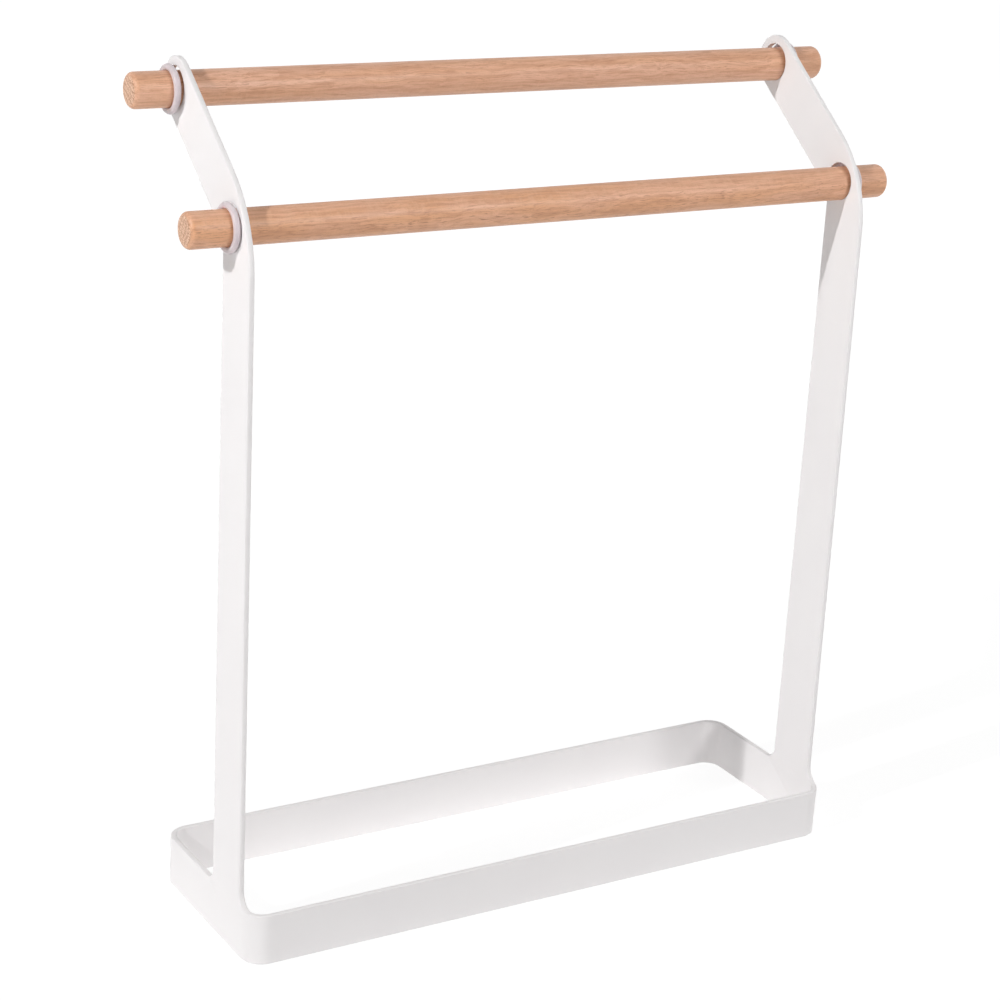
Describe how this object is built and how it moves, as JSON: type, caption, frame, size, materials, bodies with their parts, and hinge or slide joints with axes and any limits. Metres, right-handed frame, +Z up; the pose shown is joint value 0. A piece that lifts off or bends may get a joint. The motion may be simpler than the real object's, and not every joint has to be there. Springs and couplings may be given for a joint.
{
  "type": "freestanding towel stand",
  "caption": "Freestanding towel stand: open flat-steel base ring, cranked flat-steel uprights at its ends, and loose round wooden bars held by soft rings.",
  "frame": {"origin": "on the floor, under the middle of the stand's overall box", "axes": "+X along the bars to the right as seen from the front, +Y to the rear, the way the arms lean, +Z up"},
  "size_m": [0.3444, 0.1032, 0.3692],
  "materials": {
    "coated_steel": "satin white powder coat",
    "beech": "oiled beech, fine flecks along the grain",
    "silicone": "milky translucent silicone"
  },
  "bodies": {
    "frame": {"base_ring": "coated_steel", "left_upright": "coated_steel", "right_upright": "coated_steel"},
    "front_bar_set": {"front_bar": "beech", "front_left_ring": "silicone", "front_right_ring": "silicone"},
    "rear_bar_set": {"rear_bar": "beech", "rear_left_ring": "silicone", "rear_right_ring": "silicone"}
  },
  "joints": [
    {"name": "front_bar_turn", "type": "hinge", "parent": "frame", "child": "front_bar_set", "pos_m": [0, -0.01662, 0.31165], "axis": [1, 0, 0], "continuous": true},
    {"name": "rear_bar_turn", "type": "hinge", "parent": "frame", "child": "rear_bar_set", "pos_m": [0, 0.03933, 0.35598], "axis": [1, 0, 0], "continuous": true}
  ]
}
